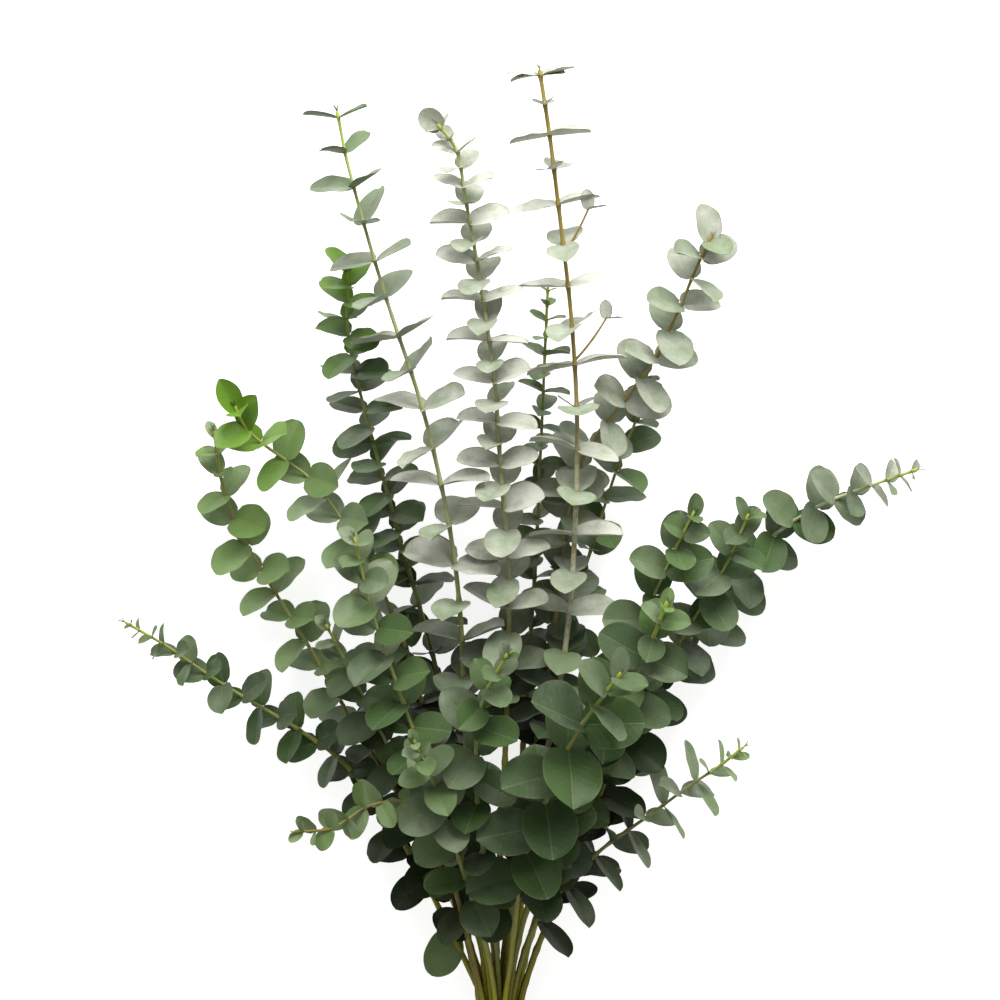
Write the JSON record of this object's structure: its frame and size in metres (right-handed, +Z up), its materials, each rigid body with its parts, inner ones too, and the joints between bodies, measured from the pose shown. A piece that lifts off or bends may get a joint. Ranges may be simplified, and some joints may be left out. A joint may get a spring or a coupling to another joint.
{
  "type": "eucalyptus bunch",
  "caption": "Bunch of cut silver eucalyptus branches with round blue-green leaves in opposite pairs, fanned out from a waist held by an elastic band, lying on a table",
  "frame": {"origin": "middle of the bunch's bounding box in X and Y, on the table in Z", "axes": "+Y from the cut stem ends to the leaf tips, +X to the right as the bunch is seen from above with the tips up, +Z up from the table"},
  "size_m": [0.5754, 0.7754, 0.1931],
  "materials": {
    "leaf": "grey-green leaf with a matt waxy bloom",
    "stem": "smooth olive to yellow-green bark, brown in places",
    "band": "plain tan rubber"
  },
  "bodies": {
    "root": {"front_right_big_leaved_branch": "leaf", "front_centre_branch": "leaf", "front_left_branch": "leaf", "centre_tallest_branch": "leaf", "centre_left_tall_branch": "leaf", "left_tallest_branch": "leaf", "left_bright_tipped_branch": "leaf", "left_pointed_tip_branch": "leaf", "left_pale_tipped_branch": "leaf", "right_pale_branch": "leaf", "centre_thin_branch": "leaf", "right_thin_branch": "leaf", "far_right_long_branch": "leaf", "left_middle_branch": "leaf", "left_centre_branch": "leaf", "right_centre_branch": "leaf", "right_upper_branch": "leaf", "right_middle_branch": "leaf", "low_right_branch": "leaf", "far_left_low_branch": "leaf", "low_left_side_branch": "leaf", "elastic_band": "band"}
  },
  "joints": []
}
